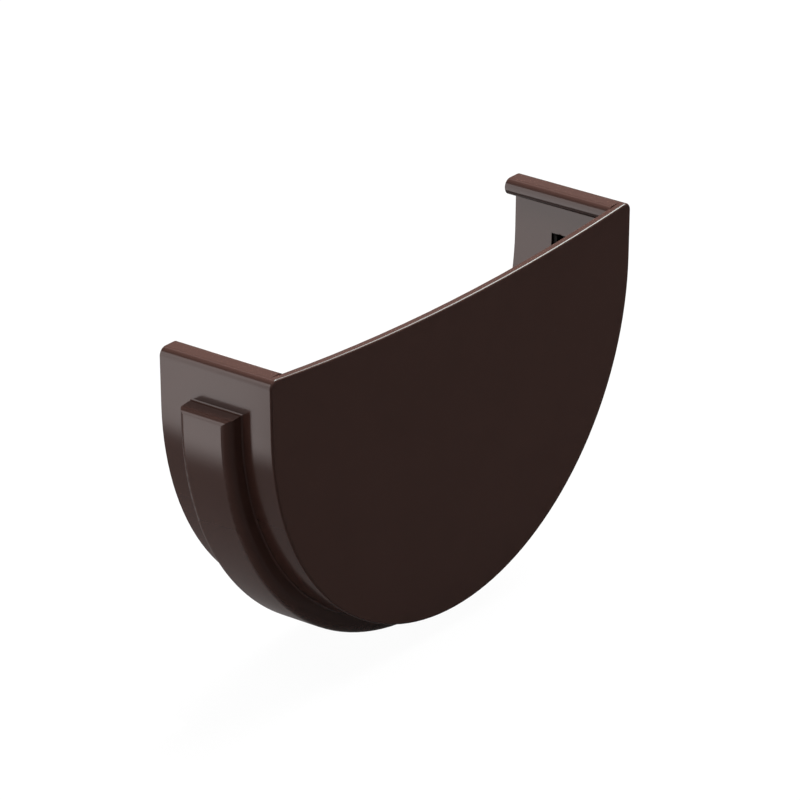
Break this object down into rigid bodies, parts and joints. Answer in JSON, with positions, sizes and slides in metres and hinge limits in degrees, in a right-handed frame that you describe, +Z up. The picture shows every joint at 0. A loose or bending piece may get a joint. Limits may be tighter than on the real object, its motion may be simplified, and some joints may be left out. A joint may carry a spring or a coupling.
{
  "type": "gutter end cap",
  "caption": "Half-round gutter end cap: a dipped end plate with a U-shaped collar, lipped rims and a raised band that houses a rubber seal.",
  "frame": {"origin": "on the axis of the U, in the inner face of the end plate, where the gutter's end stops", "axes": "+X across the gutter, +Y out of the open end along the gutter, +Z up out of the open top"},
  "size_m": [0.139, 0.0308, 0.0816],
  "materials": {
    "brown_pvc": "glossy moulded dark brown PVC",
    "black_rubber": "matt extruded black EPDM rubber"
  },
  "bodies": {
    "root": {"cap_body": "brown_pvc", "rubber_seal": "black_rubber"}
  },
  "joints": []
}
